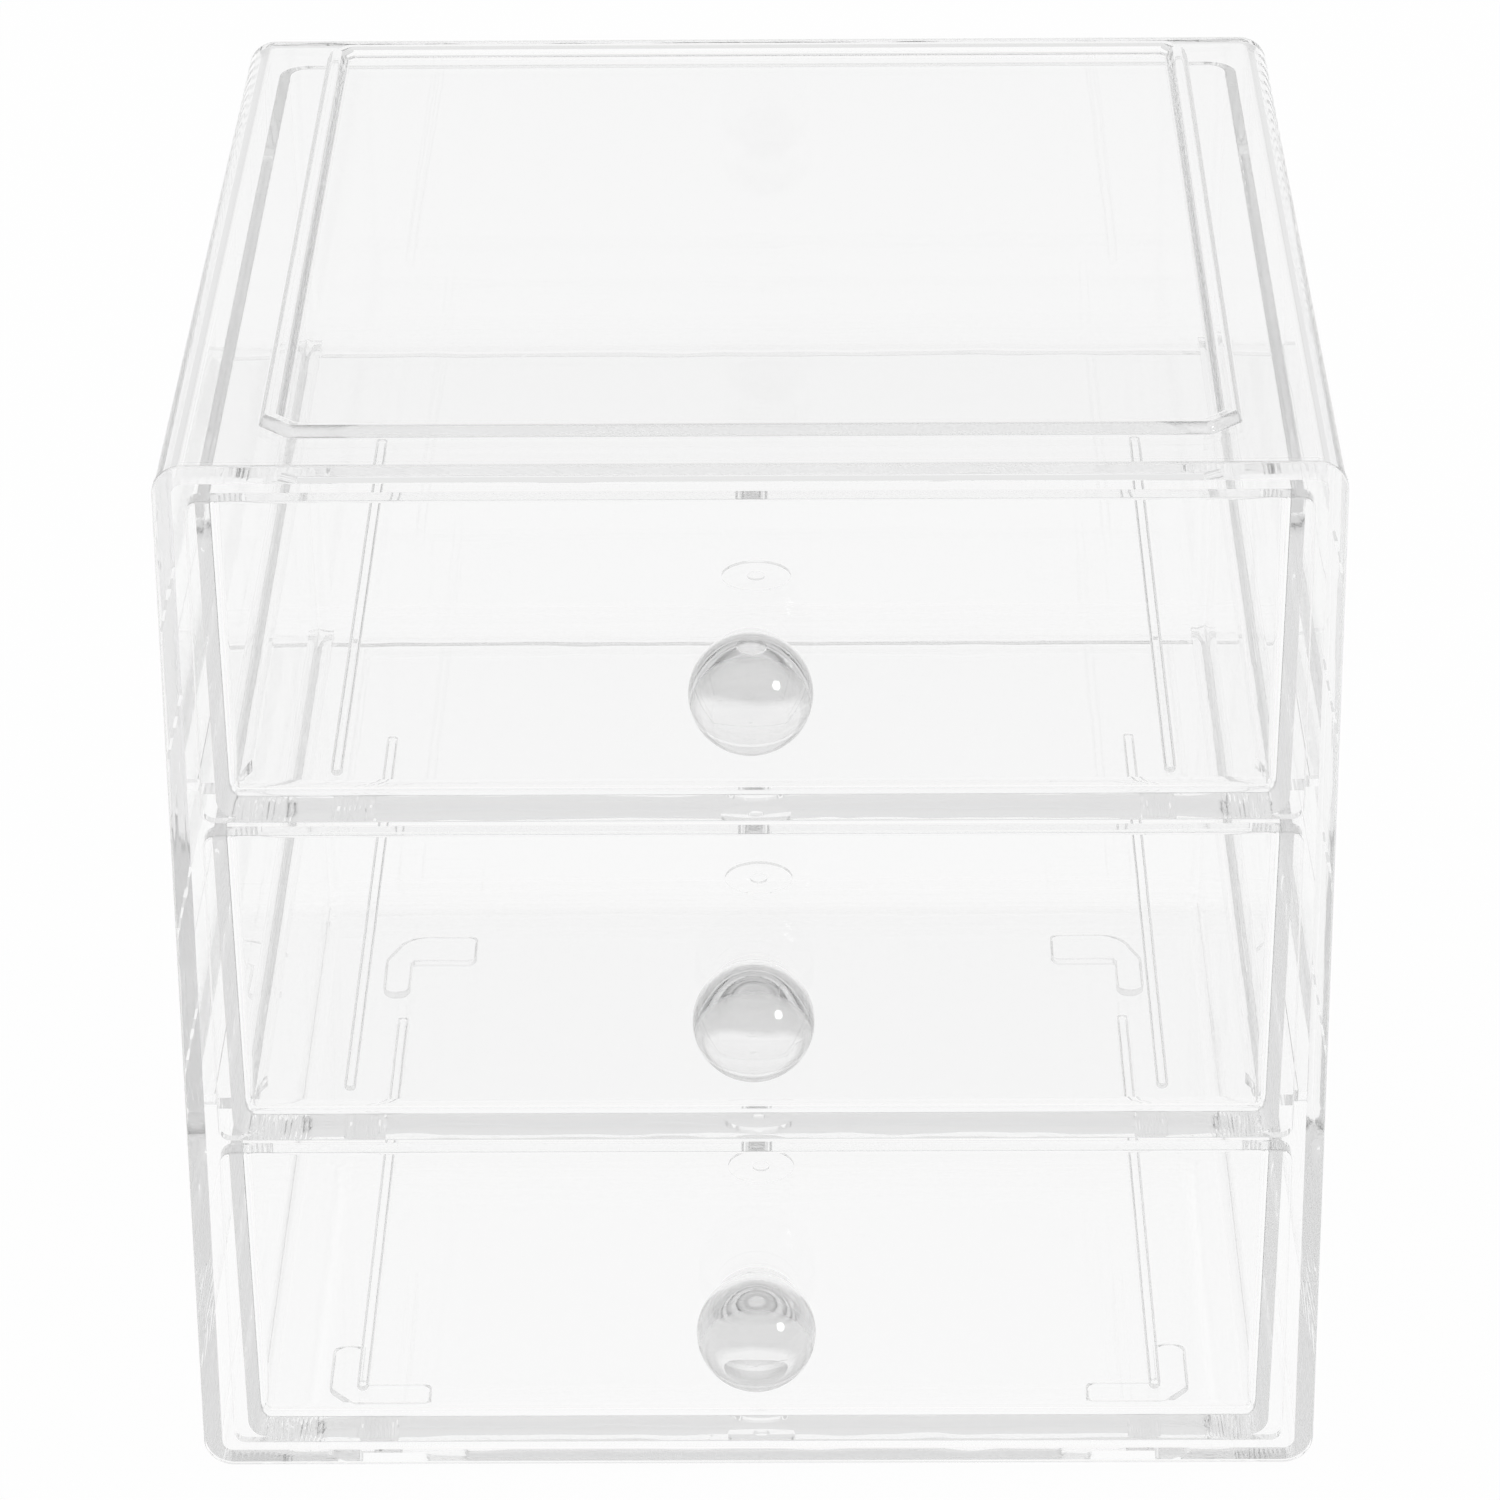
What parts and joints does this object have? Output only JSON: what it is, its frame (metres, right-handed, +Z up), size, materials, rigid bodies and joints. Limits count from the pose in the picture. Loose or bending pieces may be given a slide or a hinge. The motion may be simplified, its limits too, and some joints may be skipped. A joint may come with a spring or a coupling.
{
  "type": "tabletop drawer organizer",
  "caption": "Clear moulded cabinet, open at the front, with a stack of clear slide-out drawers, each pulled by a ball knob; a stacking rim on the roof takes the feet of another.",
  "frame": {"origin": "under the middle of the whole object, knobs included, at the level of the feet's undersides", "axes": "+Z up, +Y from the drawer fronts to the back, +X to the right seen from the front"},
  "size_m": [0.18, 0.2022, 0.1812],
  "materials": {
    "cabinet": "clear, polished",
    "drawer": "clear, polished",
    "knob": "clear, polished"
  },
  "bodies": {
    "cabinet": {"cabinet": "cabinet"},
    "bottom_drawer": {"drawer_1": "drawer", "knob_1": "knob"},
    "middle_drawer": {"drawer_2": "drawer", "knob_2": "knob"},
    "top_drawer": {"drawer_3": "drawer", "knob_3": "knob"}
  },
  "joints": [
    {"name": "bottom_drawer_slide", "type": "slide", "parent": "cabinet", "child": "bottom_drawer", "axis": [0, -1, 0], "range_m": [0, 0.14]},
    {"name": "middle_drawer_slide", "type": "slide", "parent": "cabinet", "child": "middle_drawer", "axis": [0, -1, 0], "range_m": [0, 0.14]},
    {"name": "top_drawer_slide", "type": "slide", "parent": "cabinet", "child": "top_drawer", "axis": [0, -1, 0], "range_m": [0, 0.14]}
  ]
}
